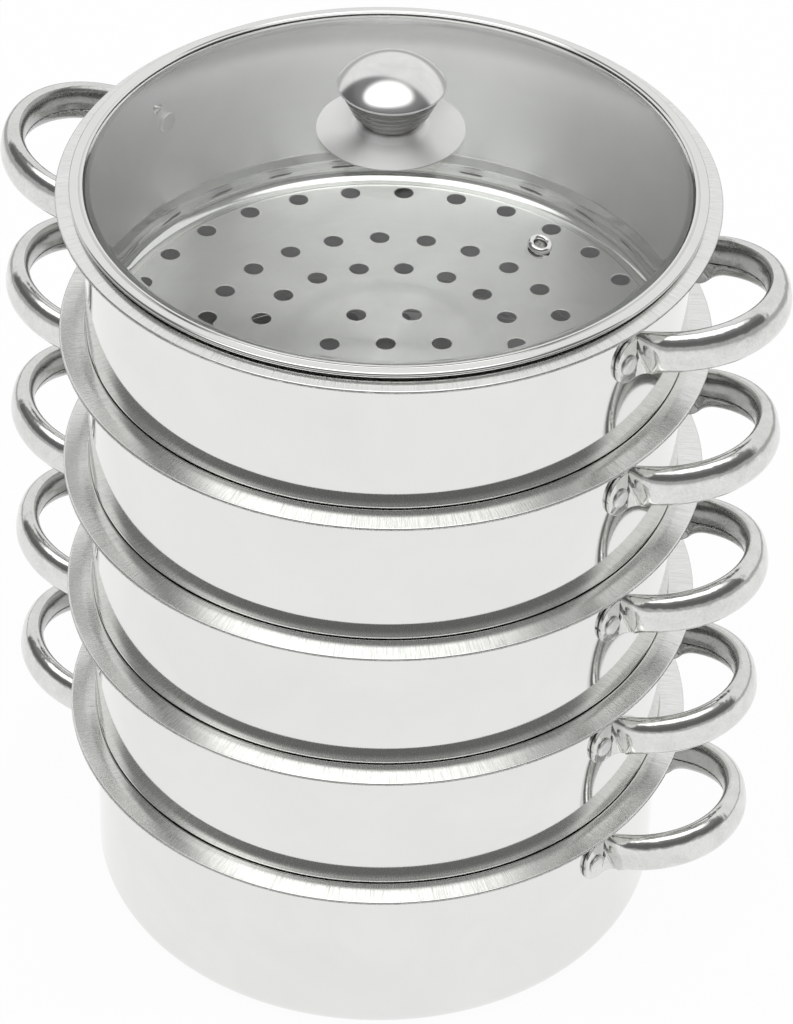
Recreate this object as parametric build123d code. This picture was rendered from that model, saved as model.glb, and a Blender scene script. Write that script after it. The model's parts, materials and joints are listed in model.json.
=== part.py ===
from build123d import *
import math
import os

# Stacked steamer: a stainless pot, four perforated steamer tiers and a domed glass lid.
# Millimetres. Origin at the centre of the pot's underside, +Z up, the loop handles along X.

os.makedirs("parts", exist_ok=True)

# Pressed sheet of the pot and the tiers
sheet = 0.6                 # thickness of the steel
bore_radius = 121.5         # inside of every wall, a 243 mm opening
flange_width = 11.5         # from the inside of the wall to the flange's edge
bend_radius = 5.5           # inside of the bend from wall to flange
bead_radius = 0.8           # half the height of the hem round the flange
hem_width = 2.6             # how far the hem is folded back
pot_height = 86.5           # underside of the pot to the top of its flange
pot_corner = 10.0           # inside of the pot's bottom corner

# Steamer tiers
tier_count = 4
tier_rise = 66.3            # from one flange to the next
seat_drop = 2.2             # a shoulder starts this far below the flange that carries it
foot_depth = 12.5           # from there down to the tier's own perforated floor
floor_corner = 5.0          # inside of the floor's corner
shoulder_step = 1.5         # how much narrower the foot is than the wall
shoulder_height = 3.5
shoulder_round = 1.2
disc_top_radius = 34.0      # raised centre of the floor
disc_foot_radius = 47.0
disc_rise = 1.0
disc_round = 60.0

# Steam holes in rings
hole_radius = 4.0
hole_counts = (6, 18, 24, 30)
hole_ring_radii = (23.1, 54.2, 76.1, 109.8)
hole_turn = 24.0            # degrees from the handles' axis to the first hole of each ring

# Loop handles of rolled sheet
handle_sheet = 0.8
handle_width = 9.4          # across the tube, in the plane of the loop
handle_height = 17.6
handle_round = 4.3
handle_past_flange = 29.7   # flange's edge to the middle of the tube at the loop's tip
handle_rise = 13.0          # rivets up to the middle of the tube at the tip
handle_tilt = 11.5          # degrees that the loop rises outwards
handle_tip_radius = 34.0
handle_tip_turn = 52.6      # degrees of the tip's arc to each side
handle_side_radius = 38.4
handle_side_turn = 30.7
seam_width = 0.8            # open seam along the inside of the loop
seam_drop = 1.5             # seam below the middle of the tube

# Flattened ears of the handles
ear_thickness = 1.6         # both layers of the sheet pressed together
ear_height = 12.5
ear_rise = 2.0              # middle of the ear above its rivet
ear_end = 6.5               # from the rivet to the ear's free end
ear_root = 5.0              # from the rivet to where the ear leaves the wall
ear_round = 5.0
ear_bend = 2.6              # how far the fold between ear and tube stands out and on
ear_edge_round = 0.6
fold_share = 0.25           # how far the tube has opened at the fold

# Rivets
rivet_turn = 19.0           # degrees from the handle's axis
rivet_foot_gap = 6.0        # rivet's head below the foot of the tier that nests in the wall
rivet_radius = 2.5
rivet_head_radius = 4.2
rivet_head_height = 2.2
rivet_head_edge = 0.7
rivet_tail_height = 1.3

# Glass lid, heights above the top of the flange that carries it
glass_thickness = 3.5
glass_crown = 28.2          # top of the dome
glass_ledge = 6.0           # flat width round the edge of the glass
glass_fold = 8.0            # rounding where the ledge turns into the dome
rim_reach = 6.0             # from the inside of the wall out to the band's edge
rim_sheet = 0.6
rim_cover = 4.9             # how far the band's lip reaches in over the glass
rim_bead = 0.9              # height of the band's rounded top above its lip
rim_slope = 1.4             # width of the slope from lip to rounded top
rim_round = 1.9
rim_foot_round = 1.4
lip_depth = 3.0             # centring lip below the flange
lip_clearance = 1.0

# Vent eyelet
vent_place_radius = 84.0
vent_turn = -24.6           # degrees from the handles' axis
vent_radius = 4.9
vent_hole_radius = 2.2
vent_wall = 0.9
vent_proud = 2.0            # height of the eyelet above the glass
vent_tail_radius = 4.4
vent_tail = 0.9

# Knob
skirt_sheet = 0.8
skirt_radius = 29.5
skirt_edge_height = 28.9    # top of the skirt's edge above the flange
skirt_cone_rise = 1.5
boss_radius = 15.2
boss_slope = 1.6
boss_rise = 2.3
boss_round = 1.0
cup_sheet = 0.8
cup_neck_radius = 12.2
cup_neck_height = 3.8
cup_foot_radius = 14.6
cup_rim_radius = 20.6
cup_height = 12.7
rib_count = 3
rib_depth = 0.6
rib_share = 0.72            # share of the cup's side that the ribs take
dome_sheet = 0.8
dome_radius = 21.5
dome_height = 11.0
dome_edge = 1.0             # crimped edge below the dome
nut_radius = 5.0
nut_height = 6.0
screw_radius = 2.4
screw_head_radius = 4.8
screw_head_height = 2.6
screw_slot_width = 1.2
screw_slot_depth = 1.4
screw_slot_length = 5.4
glass_hole_radius = 3.6
gasket_radius = 11.0
gasket_thickness = 1.5
washer_radius = 9.0
washer_thickness = 1.0

# Clearances
seat_gap = 0.3              # between pieces that lift off each other
fit_gap = 0.1               # between pieces that are fastened together
thread_gap = 0.05
overrun = 2.0               # how far a cutting shape runs past what it cuts

# Sizes that follow from those above
wall_radius = bore_radius + sheet
flange_radius = bore_radius + flange_width
rim_radius = bore_radius + rim_reach
foot_radius = wall_radius - shoulder_step
shoulder_angle = math.atan2(shoulder_step, shoulder_height)
shoulder_depth = tier_rise + seat_drop
floor_depth = shoulder_depth + foot_depth
rivet_drop = floor_depth + sheet - tier_rise + rivet_foot_gap + rivet_head_radius
handle_drop = rivet_drop - handle_rise
handle_reach = flange_radius + handle_past_flange - wall_radius
glass_radius = rim_radius - rim_sheet - fit_gap
glass_bottom = seat_gap + rim_sheet + fit_gap
glass_top = glass_bottom + glass_thickness
ledge_radius = glass_radius - glass_ledge
glass_sag = glass_crown - glass_top
dome_curve = (ledge_radius**2 + glass_sag**2) / (2 * glass_sag)
dome_middle = glass_crown - dome_curve
boss_top = skirt_edge_height + skirt_cone_rise + boss_rise
neck_bottom = boss_top + fit_gap
cup_bottom = neck_bottom + cup_neck_height
cup_top = cup_bottom + cup_height
screw_hole_radius = screw_radius + seat_gap


def glass_over(radius):
    """Height of the glass's top at this radius."""
    return dome_middle + math.sqrt(dome_curve**2 - radius**2)


def glass_under(radius):
    """Height of the glass's underside at this radius."""
    return dome_middle + math.sqrt((dome_curve - glass_thickness) ** 2 - radius**2)


def outline(*lines):
    """A closed flat face from lines drawn as (radius, height)."""
    return make_face([edge for line in lines for edge in line.edges()])


def spun(face, height=0):
    """A (radius, height) face turned once round the Z axis, and lifted."""
    return Pos(0, 0, height) * revolve(Plane.XZ * face, Axis.Z, 360)


def ring(inner, outer, low, high):
    """A flat ring, or a disc where the inner radius is zero."""
    return spun(outline(Polyline((inner, low), (outer, low), (outer, high), (inner, high), close=True)))


# Pot and tiers: each is one pressed sheet, drawn with its flange top at height zero


def hem():
    """The folded hem, from the top of the flange round to the sheet's underside."""
    edge = flange_radius - bead_radius
    back = flange_radius - hem_width
    nose = ThreePointArc((edge, 0), (flange_radius, -bead_radius), (edge, -2 * bead_radius))
    fold = Polyline((edge, -2 * bead_radius), (back, -2 * bead_radius), (back, -sheet))
    return nose, fold


def pot_blank():
    """The pot before its rivet holes: floor, corner, wall, bend and hemmed flange."""
    inside = FilletPolyline(
        (0, sheet - pot_height),
        (bore_radius, sheet - pot_height),
        (bore_radius, 0),
        (flange_radius - bead_radius, 0),
        radius=[pot_corner, bend_radius],
    )
    outside = FilletPolyline(
        (flange_radius - hem_width, -sheet),
        (wall_radius, -sheet),
        (wall_radius, -pot_height),
        (0, -pot_height),
        radius=[bend_radius - sheet, pot_corner + sheet],
    )
    middle = Line((0, -pot_height), (0, sheet - pot_height))
    return spun(outline(inside, *hem(), outside, middle))


def tier_blank():
    """A tier before its holes. The shoulder narrows the wall to a foot that nests in the tier below."""
    shift = sheet * math.tan(shoulder_angle / 2)
    step_low = -shoulder_depth - shoulder_height
    foot_bore = foot_radius - sheet
    inside = FilletPolyline(
        (0, disc_rise - floor_depth),
        (disc_top_radius, disc_rise - floor_depth),
        (disc_foot_radius, -floor_depth),
        (foot_bore, -floor_depth),
        (foot_bore, step_low + shift),
        (bore_radius, -shoulder_depth + shift),
        (bore_radius, 0),
        (flange_radius - bead_radius, 0),
        radius=[disc_round, disc_round, floor_corner, shoulder_round + sheet, shoulder_round, bend_radius],
    )
    outside = FilletPolyline(
        (flange_radius - hem_width, -sheet),
        (wall_radius, -sheet),
        (wall_radius, -shoulder_depth),
        (foot_radius, step_low),
        (foot_radius, -floor_depth - sheet),
        (disc_foot_radius, -floor_depth - sheet),
        (disc_top_radius, disc_rise - floor_depth - sheet),
        (0, disc_rise - floor_depth - sheet),
        radius=[
            bend_radius - sheet, shoulder_round + sheet, shoulder_round,
            floor_corner + sheet, disc_round, disc_round,
        ],
    )
    middle = Line((0, disc_rise - floor_depth - sheet), (0, disc_rise - floor_depth))
    return spun(outline(inside, *hem(), outside, middle))


def steam_holes():
    """Cutters for the rings of holes through a tier's floor."""
    cutter = Cylinder(hole_radius, sheet + disc_rise + 2 * overrun, align=(Align.CENTER, Align.CENTER, Align.MIN))
    low = -floor_depth - sheet - overrun
    cutters = []
    for count, radius in zip(hole_counts, hole_ring_radii):
        for index in range(count):
            turn = math.radians(hole_turn + index * 360 / count)
            cutters.append(Pos(radius * math.cos(turn), radius * math.sin(turn), low) * cutter)
    return cutters


# Rivets and the holes they go through


def rivet_plane(side, end):
    """On the wall's outside at a rivet, its Z axis outwards, its X axis round the wall, its Y axis up."""
    turn = math.radians(rivet_turn) * end
    outwards = Vector(side * math.cos(turn), side * math.sin(turn), 0)
    return Plane(
        origin=outwards * wall_radius - Vector(0, 0, rivet_drop),
        x_dir=Vector(0, 0, 1).cross(outwards),
        z_dir=outwards,
    )


def rivet_cutter():
    """A cutter for one rivet's hole through the wall and an ear."""
    length = sheet + fit_gap + ear_thickness + 2 * overrun
    hole = Cylinder(rivet_radius + fit_gap, length, align=(Align.CENTER, Align.CENTER, Align.MIN))
    return Pos(0, 0, -sheet - overrun) * hole


def rivets():
    """Four rivets with domed heads outside and flat tails inside the wall."""
    tail_base = -sheet - fit_gap
    tail_top = tail_base - rivet_tail_height
    head_base = 2 * fit_gap + ear_thickness
    head_edge = head_base + rivet_head_edge
    head_top = head_base + rivet_head_height
    stem = Polyline(
        (0, tail_top),
        (rivet_head_radius, tail_top),
        (rivet_head_radius, tail_base),
        (rivet_radius, tail_base),
        (rivet_radius, head_base),
        (rivet_head_radius, head_base),
        (rivet_head_radius, head_edge),
    )
    crown = TangentArc((0, head_top), (rivet_head_radius, head_edge), tangent=(1, 0))
    middle = Line((0, head_top), (0, tail_top))
    one = spun(outline(stem, crown, middle))
    return [rivet_plane(side, end) * one for side in (1, -1) for end in (1, -1)]


# Loop handles


def loop_path():
    """Middle line of the right handle: an arc round the tip, and a flatter arc into each leg."""
    tip_turn = math.radians(handle_tip_turn)
    leg_turn = tip_turn + math.radians(handle_side_turn)
    shift = handle_tip_radius - handle_side_radius

    def tip_point(turn, end):
        return (end * handle_tip_radius * math.sin(turn), handle_tip_radius * (math.cos(turn) - 1))

    def side_point(turn, end):
        along = shift * math.sin(tip_turn) + handle_side_radius * math.sin(turn)
        out = shift * math.cos(tip_turn) + handle_side_radius * math.cos(turn) - handle_tip_radius
        return (end * along, out)

    middle_turn = (tip_turn + leg_turn) / 2
    arcs = [
        ThreePointArc(side_point(leg_turn, 1), side_point(middle_turn, 1), tip_point(tip_turn, 1)),
        ThreePointArc(tip_point(tip_turn, 1), (0, 0), tip_point(tip_turn, -1)),
        ThreePointArc(tip_point(tip_turn, -1), side_point(middle_turn, -1), side_point(leg_turn, -1)),
    ]
    tilt = math.radians(handle_tilt)
    loop_plane = Plane(
        origin=(wall_radius + handle_reach, 0, -handle_drop),
        x_dir=(0, 1, 0),
        z_dir=(math.sin(tilt), 0, -math.cos(tilt)),
    )
    return loop_plane * Wire([edge for arc in arcs for edge in arc.edges()]), -loop_plane.z_dir


def ear_and_fold(foot):
    """The flattened ear on the wall, and the fold in which it opens into the tube."""
    at_rivet = rivet_plane(1, 1)
    flat = Pos((ear_end - ear_root) / 2, ear_rise) * Rectangle(ear_end + ear_root, ear_height)
    flat = fillet(flat.vertices().sort_by(Axis.X)[-2:], ear_round)
    ear = at_rivet * Pos(0, 0, fit_gap) * extrude(flat, ear_thickness)
    middle = fit_gap + ear_thickness / 2
    root = Plane(
        origin=at_rivet.from_local_coords((-ear_root, ear_rise, middle)),
        x_dir=at_rivet.z_dir,
        z_dir=-at_rivet.x_dir,
    )
    heading = (root.z_dir + foot.z_dir).normalized()
    upright = (root.y_dir + foot.y_dir).normalized()
    fold = Plane(
        origin=at_rivet.from_local_coords((-ear_root - ear_bend, ear_rise, middle + ear_bend)),
        x_dir=upright.cross(heading),
        z_dir=heading,
    )
    width = ear_thickness + fold_share * (handle_width - ear_thickness)
    height = ear_height + fold_share * (handle_height - ear_height)
    corner = ear_edge_round + fold_share * (handle_round - ear_edge_round)
    sections = [
        root * RectangleRounded(ear_thickness, ear_height, ear_edge_round),
        fold * RectangleRounded(width, height, corner),
        foot * RectangleRounded(handle_width, handle_height, handle_round),
    ]
    return ear + loft(sections)


def right_handle():
    """Rolled sheet loop with an open seam inside, its two ends flattened into ears on the wall."""
    path, upwards = loop_path()
    heading = path % 0
    foot = Plane(origin=path @ 0, x_dir=upwards.cross(heading), z_dir=heading)
    tube = RectangleRounded(handle_width, handle_height, handle_round) - RectangleRounded(
        handle_width - 2 * handle_sheet, handle_height - 2 * handle_sheet, handle_round - handle_sheet
    )
    seam = Pos(-handle_width / 2, -seam_drop) * Rectangle(handle_width / 2, seam_width)
    loop = sweep(foot * (tube - seam), path=path)
    end = ear_and_fold(foot)
    body = loop + end + end.mirror(Plane.XZ)
    return body - [rivet_plane(1, end) * rivet_cutter() for end in (1, -1)]


# Lid


def lid_glass():
    """Tempered glass: a flat ledge for the band, a dome, and holes for the knob and the vent."""
    low_ledge = math.sqrt((dome_curve - glass_thickness) ** 2 - (glass_bottom - dome_middle) ** 2)
    half = ledge_radius / 2
    edge = Polyline(
        (ledge_radius, glass_top), (glass_radius, glass_top), (glass_radius, glass_bottom), (low_ledge, glass_bottom)
    )
    under = ThreePointArc((low_ledge, glass_bottom), (half, glass_under(half)), (0, glass_under(0)))
    over = ThreePointArc((0, glass_crown), (half, glass_over(half)), (ledge_radius, glass_top))
    face = outline(over, edge, under, Line((0, glass_under(0)), (0, glass_crown)))
    upper = face.vertices().sort_by_distance((ledge_radius, glass_top))[0]
    face = fillet(upper, glass_fold)
    lower = face.vertices().sort_by_distance((low_ledge, glass_bottom))[0]
    face = fillet(lower, glass_fold + glass_thickness)
    knob_hole = Pos(0, 0, glass_under(0)) * Cylinder(glass_hole_radius, 2 * glass_thickness + overrun)
    vent_hole = vent_plane() * Cylinder(vent_hole_radius + vent_wall + fit_gap, 2 * (glass_thickness + overrun))
    return spun(face) - knob_hole - vent_hole


def lid_rim_band():
    """Steel band rolled round the edge of the glass, with a lip that centres the lid in the opening."""
    inner = rim_radius - rim_cover - rim_sheet
    lip_outer = bore_radius - lip_clearance
    cover = glass_top + fit_gap
    top = cover + rim_sheet + rim_bead
    shell = FilletPolyline(
        (lip_outer, -lip_depth),
        (lip_outer, seat_gap),
        (rim_radius, seat_gap),
        (rim_radius, top),
        (inner + rim_slope, top),
        (inner, cover + rim_sheet),
        (inner, cover),
        radius=[0, rim_foot_round, rim_round, rim_bead, 0],
    )
    channel = Polyline(
        (inner, cover),
        (rim_radius - rim_sheet, cover),
        (rim_radius - rim_sheet, seat_gap + rim_sheet),
        (lip_outer - rim_sheet, seat_gap + rim_sheet),
        (lip_outer - rim_sheet, -lip_depth),
        (lip_outer, -lip_depth),
    )
    return spun(outline(shell, channel))


def vent_plane():
    """On top of the glass at the vent, square to the dome."""
    turn = math.radians(vent_turn)
    rise = math.sqrt(dome_curve**2 - vent_place_radius**2)
    place = Vector(vent_place_radius * math.cos(turn), vent_place_radius * math.sin(turn), rise)
    return Plane(origin=place + Vector(0, 0, dome_middle), x_dir=Vector(0, 0, 1).cross(place), z_dir=place)


def vent_eyelet():
    """Steel eyelet with a rounded collar above the glass and a turned-out tail below it."""
    neck = vent_hole_radius + vent_wall
    tail = -glass_thickness - fit_gap
    low = Polyline(
        (vent_radius, fit_gap),
        (neck, fit_gap),
        (neck, tail),
        (vent_tail_radius, tail),
        (vent_tail_radius, tail - vent_tail),
        (vent_hole_radius, tail - vent_tail),
        (vent_hole_radius, fit_gap),
    )
    half = (vent_radius - vent_hole_radius) / 2
    collar = EllipticalCenterArc((vent_hole_radius + half, fit_gap), half, vent_proud, arc_size=180)
    return vent_plane() * spun(outline(low, collar))


# Knob


def knob_skirt():
    """Pressed disc: a shallow cone with a raised boss in the middle that the knob stands on."""
    boss_foot = skirt_edge_height + skirt_cone_rise

    def side(drop, inwards, boss_inner, boss_outer):
        return FilletPolyline(
            (screw_hole_radius, boss_top - drop),
            (boss_radius - boss_slope - inwards, boss_top - drop),
            (boss_radius - inwards, boss_foot - drop),
            (skirt_radius, skirt_edge_height - drop),
            radius=[boss_inner, boss_outer],
        )

    upper = side(0, 0, boss_round + skirt_sheet, boss_round)
    lower = side(skirt_sheet, skirt_sheet / 2, boss_round, boss_round + skirt_sheet)
    edge = Line((skirt_radius, skirt_edge_height), (skirt_radius, skirt_edge_height - skirt_sheet))
    hole = Line((screw_hole_radius, boss_top - skirt_sheet), (screw_hole_radius, boss_top))
    return spun(outline(upper, edge, lower, hole))


def knob_cup():
    """Lower shell of the knob: a neck, then a flaring side with rounded ribs."""
    side = Vector(cup_rim_radius - cup_foot_radius, cup_height)
    outwards = Vector(side.Y, -side.X).normalized()
    foot = Vector(cup_foot_radius, cup_bottom)
    rib = side * (rib_share / rib_count)
    ribs = []
    for index in range(rib_count):
        low = foot + rib * index
        ribs.append(ThreePointArc(low, low + rib / 2 + outwards * rib_depth, low + rib))
    plain = Line(foot + rib * rib_count, (cup_rim_radius, cup_top))
    neck_inner = cup_neck_radius - cup_sheet
    low_line = Polyline(
        (screw_hole_radius, neck_bottom), (cup_neck_radius, neck_bottom), (cup_neck_radius, cup_bottom), tuple(foot)[:2]
    )
    inside = Polyline(
        (cup_rim_radius, cup_top),
        (cup_rim_radius - cup_sheet, cup_top),
        (cup_foot_radius - cup_sheet / 2, cup_bottom + cup_sheet),
        (neck_inner, cup_bottom + cup_sheet),
        (neck_inner, neck_bottom + cup_sheet),
        (screw_hole_radius, neck_bottom + cup_sheet),
        (screw_hole_radius, neck_bottom),
    )
    return spun(outline(low_line, *ribs, plain, inside))


def knob_dome():
    """Polished cap of the knob, its edge crimped down round the cup's rim."""
    base = cup_top + fit_gap
    inner = dome_radius - dome_sheet
    over = TangentArc((0, base + dome_height), (dome_radius, base), tangent=(1, 0))
    crimp = Polyline((dome_radius, base), (dome_radius, base - dome_edge), (inner, base - dome_edge), (inner, base))
    under = TangentArc((0, base + dome_height - dome_sheet), (inner, base), tangent=(1, 0))
    middle = Line((0, base + dome_height - dome_sheet), (0, base + dome_height))
    return spun(outline(over, crimp, under, middle))


def screw_levels():
    """Heights of the clamped stack under the glass, from the gasket's top down to the screw's head."""
    gasket_top = glass_under(gasket_radius) - fit_gap
    washer_top = gasket_top - gasket_thickness - fit_gap
    head_top = washer_top - washer_thickness - fit_gap
    return gasket_top, washer_top, head_top


def knob_screw():
    """Pan head screw with a crossed recess, up through the glass into the knob's nut."""
    head_top = screw_levels()[2]
    tip = neck_bottom + cup_sheet + fit_gap + nut_height
    head_low = head_top - screw_head_height
    solid = ring(0, screw_head_radius, head_low, head_top) + ring(0, screw_radius, head_low, tip)
    slot = Box(screw_slot_length, screw_slot_width, 2 * screw_slot_depth)
    cross = slot + Rot(0, 0, 90) * slot
    return solid - Pos(0, 0, head_low) * cross


def knob_rings():
    """The nut inside the cup, both silicone gaskets and the steel washer."""
    gasket_top, washer_top, head_top = screw_levels()
    nut_low = neck_bottom + cup_sheet + fit_gap
    skirt_under = boss_top - skirt_sheet - fit_gap
    return {
        "knob_nut": ring(screw_radius + thread_gap, nut_radius, nut_low, nut_low + nut_height),
        "knob_gasket_upper": ring(screw_hole_radius, gasket_radius, glass_crown + fit_gap, skirt_under),
        "knob_gasket_lower": ring(screw_hole_radius, gasket_radius, gasket_top - gasket_thickness, gasket_top),
        "knob_washer": ring(screw_hole_radius, washer_radius, head_top + fit_gap, washer_top),
    }


# Assembly: the pot, the tiers above it, and the lid on the top tier


def vessel(blank, cutters):
    """A pot or tier with its handles and rivets, by what each piece is called."""
    holes = [rivet_plane(side, end) * rivet_cutter() for side in (1, -1) for end in (1, -1)]
    right = right_handle()
    return {
        "shell": blank - cutters - holes,
        "handle_right": right,
        "handle_left": Rot(0, 0, 180) * right,
        "rivets": Compound(rivets()),
    }


def lid():
    """Every piece of the lid, by its name."""
    return {
        "lid_glass": lid_glass(),
        "lid_rim_band": lid_rim_band(),
        "vent_eyelet": vent_eyelet(),
        "knob_skirt": knob_skirt(),
        "knob_cup": knob_cup(),
        "knob_dome": knob_dome(),
        "knob_screw": knob_screw(),
        **knob_rings(),
    }


pot = vessel(pot_blank(), [])
tier = vessel(tier_blank(), steam_holes())

nodes = {f"pot_{piece}": Pos(0, 0, pot_height) * solid for piece, solid in pot.items()}
for level in range(1, tier_count + 1):
    lift = Pos(0, 0, pot_height + level * tier_rise)
    nodes.update({f"steamer_{level}_{piece}": lift * solid for piece, solid in tier.items()})
lift = Pos(0, 0, pot_height + tier_count * tier_rise)
nodes.update({name: lift * solid for name, solid in lid().items()})

for name, solid in nodes.items():
    export_step(solid, f"parts/{name}.step")
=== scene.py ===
import json
import math

import bpy
import numpy as np
from mathutils import Matrix, Vector

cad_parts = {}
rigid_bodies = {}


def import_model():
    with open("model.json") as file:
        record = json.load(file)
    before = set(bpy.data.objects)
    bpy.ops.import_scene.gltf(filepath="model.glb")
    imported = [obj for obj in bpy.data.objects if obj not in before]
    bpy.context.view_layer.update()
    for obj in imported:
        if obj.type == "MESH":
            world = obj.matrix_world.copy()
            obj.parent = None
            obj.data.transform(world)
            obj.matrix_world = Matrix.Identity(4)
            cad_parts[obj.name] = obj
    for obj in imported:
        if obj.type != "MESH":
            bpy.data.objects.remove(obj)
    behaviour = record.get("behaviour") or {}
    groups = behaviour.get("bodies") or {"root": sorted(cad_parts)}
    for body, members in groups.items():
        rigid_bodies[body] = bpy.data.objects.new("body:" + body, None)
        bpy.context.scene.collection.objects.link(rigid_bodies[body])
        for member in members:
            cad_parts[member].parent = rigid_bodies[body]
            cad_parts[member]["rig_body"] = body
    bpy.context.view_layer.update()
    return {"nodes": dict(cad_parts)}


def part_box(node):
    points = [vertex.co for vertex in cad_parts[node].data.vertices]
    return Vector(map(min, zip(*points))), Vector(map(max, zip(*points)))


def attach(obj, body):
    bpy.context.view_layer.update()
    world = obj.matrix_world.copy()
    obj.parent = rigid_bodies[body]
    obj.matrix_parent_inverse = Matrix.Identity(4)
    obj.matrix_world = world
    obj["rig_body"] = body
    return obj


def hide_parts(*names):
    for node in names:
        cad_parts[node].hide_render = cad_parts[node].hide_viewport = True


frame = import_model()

nodes = frame["nodes"]
tier_names = ["steamer_1", "steamer_2", "steamer_3", "steamer_4"]
vessel_names = ["pot"] + tier_names
flange_top = {name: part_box(f"{name}_shell")[1].z for name in vessel_names}

# Pot shell
# The pot is deep drawn from one sheet of stainless steel. Its wall turns out at the top into a
# flange whose edge is folded under into a hem, and the bottom corner is a wide round.

bore = 0.1215               # inside of the wall
sheet = 0.0006
wall = bore + sheet         # outside of the wall
flange_edge = 0.133
flange_bend = 0.0015
bend_end = -2 * flange_bend
flange_crown = 0.1262       # the flange is level out to here
flange_fall = 0.0009        # and falls by this much to its hem
crown_round = 0.02
hem_half = 0.0008
hem_width = 0.0026
pot_height = flange_top["pot"]
pot_corner = 0.010
turns = 360                 # steps round the axis
near = 1e-5                 # a point this near to a radius lies on it


def unit(vectors):
    """Vectors with the same headings and a length of 1."""
    return vectors / np.linalg.norm(vectors, axis=-1, keepdims=True)


def rounded(corners, radii, steps=12, hold=0.0003):
    """The outline through the corners, with an arc of the given radius in each inner corner.

    An arc runs between the two points that lie radius / tan(half the inside angle) from the corner.
    A point held just off each end of an arc keeps the flats beside it flat when shaded. A radius of 0
    leaves the corner sharp.
    """
    corners = np.asarray(corners, float)
    points = [corners[:1]]
    for before, corner, after, radius in zip(corners, corners[1:], corners[2:], radii):
        back, on = unit(before - corner), unit(after - corner)
        if radius == 0:
            points.append(np.array([corner + back * hold / 10, corner, corner + on * hold / 10]))
            continue
        half = math.acos(np.clip(np.dot(back, on), -1, 1)) / 2
        reach = radius / math.tan(half)
        middle = unit(back + on)
        centre = corner + middle * radius / math.sin(half)
        swing = np.linspace(half - math.pi / 2, math.pi / 2 - half, steps + 1)[:, None]
        across = unit(on - middle * np.dot(on, middle))
        arc = centre + radius * (np.sin(swing) * across - np.cos(swing) * middle)
        ends = corner + back * (reach + hold), corner + on * (reach + hold)
        points.append(np.vstack([ends[0], arc, ends[1]]))
    points.append(corners[-1:])
    return np.vstack(points)


def compass(turn):
    """The ways outwards and round the axis, at an angle a: (cos a, sin a, 0) and (-sin a, cos a, 0)."""
    return np.array([[math.cos(turn), math.sin(turn), 0], [-math.sin(turn), math.cos(turn), 0]])


def round_points(radius, angle, height):
    """A grid of points round the axis: x = r cos a, y = r sin a, z = height."""
    return np.stack(np.broadcast_arrays(radius * np.cos(angle), radius * np.sin(angle), height), axis=-1)


def lathe(profile, count=turns):
    """A (radius, height) profile turned round the axis. Rows follow it, and columns the angle."""
    profile = np.asarray(profile, float)
    return round_points(profile[:, :1], np.linspace(0, 2 * math.pi, count + 1), profile[:, 1:])


def surface(name, grids, materials):
    """One mesh from grids of points, each with the number of its material.

    Every cell of a grid becomes two triangles that wind along a row first and then to the next row.
    Points in the same place are joined, and triangles that a pole has closed up are dropped.
    """
    points, faces, slots, start = [], [], [], 0
    for grid, material in grids:
        rows, columns = grid.shape[:2]
        index = start + np.arange(rows * columns).reshape(rows, columns)
        a, b, c, d = index[:-1, :-1], index[:-1, 1:], index[1:, 1:], index[1:, :-1]
        cells = np.concatenate([np.stack(half, -1).reshape(-1, 3) for half in ((a, b, c), (a, c, d))])
        points.append(grid.reshape(-1, 3))
        faces.append(cells)
        slots.append(np.full(len(cells), material))
        start += rows * columns
    points, faces, slots = np.vstack(points), np.vstack(faces), np.concatenate(slots)
    places = np.round(points * 1e6).astype(np.int64)
    _, first, joined = np.unique(places, axis=0, return_index=True, return_inverse=True)
    faces = joined.reshape(-1)[faces]
    whole = (faces[:, 0] != faces[:, 1]) & (faces[:, 1] != faces[:, 2]) & (faces[:, 2] != faces[:, 0])
    faces, slots, points = faces[whole], slots[whole], points[first]
    mesh = bpy.data.meshes.new(name)
    mesh.vertices.add(len(points))
    mesh.vertices.foreach_set("co", points.astype(np.float32).ravel())
    mesh.loops.add(faces.size)
    mesh.loops.foreach_set("vertex_index", faces.astype(np.int32).ravel())
    mesh.polygons.add(len(faces))
    mesh.polygons.foreach_set("loop_start", np.arange(0, faces.size, 3, dtype=np.int32))
    for material in materials:
        mesh.materials.append(material)
    mesh.polygons.foreach_set("material_index", slots.astype(np.int32))
    mesh.polygons.foreach_set("use_smooth", np.ones(len(faces), bool))
    mesh.update(calc_edges=True)
    mesh.validate()
    piece = bpy.data.objects.new(name, mesh)
    bpy.context.scene.collection.objects.link(piece)
    return piece


def stand_for(piece, node):
    """The piece takes the node's place, on the node's own body."""
    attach(piece, nodes[node]["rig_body"])
    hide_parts(node)


def link(tree, source, target):
    tree.links.new(source, target)


def new_node(tree, kind, **values):
    """A shader node with its settings, and with its inputs set by name."""
    node = tree.nodes.new("ShaderNode" + kind)
    for key, value in values.items():
        if hasattr(node, key):
            setattr(node, key, value)
        else:
            node.inputs[key.replace("_", " ")].default_value = value
    return node


def math_node(tree, operation, *values):
    """A Math node fed with sockets or plain numbers."""
    node = new_node(tree, "Math", operation=operation)
    for socket, value in zip(node.inputs, values):
        if isinstance(value, (int, float)):
            socket.default_value = value
        else:
            link(tree, value, socket)
    return node.outputs[0]


def blend(tree, low, high, share):
    """low + (high - low) x share, for plain numbers or sockets."""
    rise = math_node(tree, "MULTIPLY", math_node(tree, "SUBTRACT", high, low), share)
    return math_node(tree, "ADD", rise, low)


def hypotenuse(tree, across, along):
    """The square root of across^2 + along^2."""
    squares = [math_node(tree, "POWER", side, 2) for side in (across, along)]
    return math_node(tree, "SQRT", math_node(tree, "ADD", *squares))


def remap(tree, value, **limits):
    """A value taken from one range to another. Both are 0 to 1 unless given."""
    node = new_node(tree, "MapRange", **limits)
    link(tree, value, node.inputs["Value"])
    return node.outputs[0]


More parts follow.
